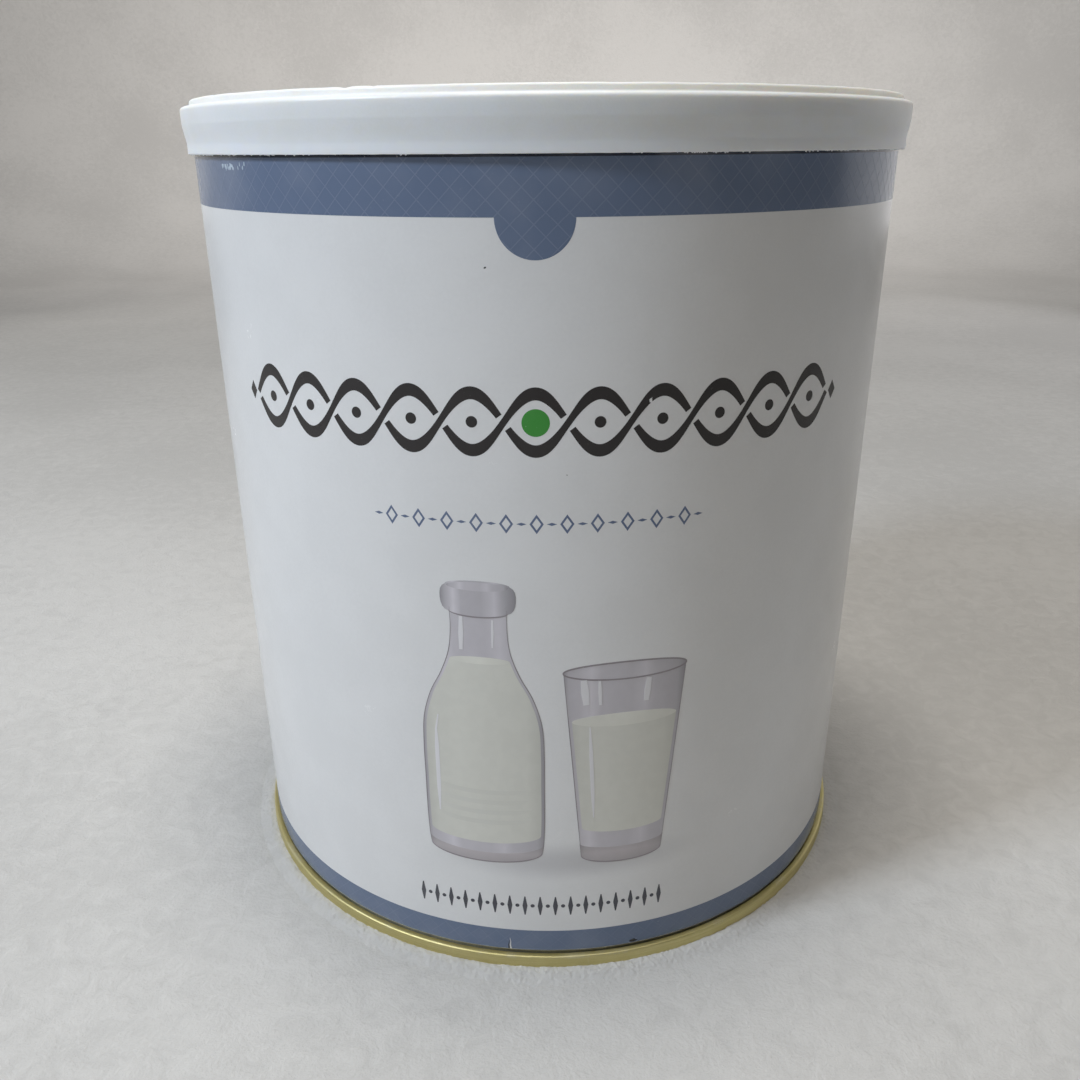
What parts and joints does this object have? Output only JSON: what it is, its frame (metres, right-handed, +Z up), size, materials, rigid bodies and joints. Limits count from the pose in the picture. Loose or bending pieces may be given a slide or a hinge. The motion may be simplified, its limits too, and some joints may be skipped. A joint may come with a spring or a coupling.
{
  "type": "milk powder tin",
  "caption": "Large round steel tin of milk powder with a white paper label banded in slate blue, a gold-lacquered bottom end and a white plastic lid pushed over its rim.",
  "frame": {"origin": "centre of the foot of the bottom seam, on the surface that the tin stands on", "axes": "+Z up along the tin's axis, with the front of the label facing -Y and +X to its right"},
  "size_m": [0.1584, 0.1584, 0.1787],
  "materials": {
    "tinplate": "bare drawn tinplate",
    "gold_lacquer": "clear gold lacquer over steel, satin",
    "label_paper": "varnished coated paper, semi-gloss",
    "lid_plastic": "soft satin polyethylene"
  },
  "bodies": {
    "root": {"body": "tinplate", "bottom_end": "gold_lacquer", "label": "label_paper", "lid": "lid_plastic"}
  },
  "joints": []
}
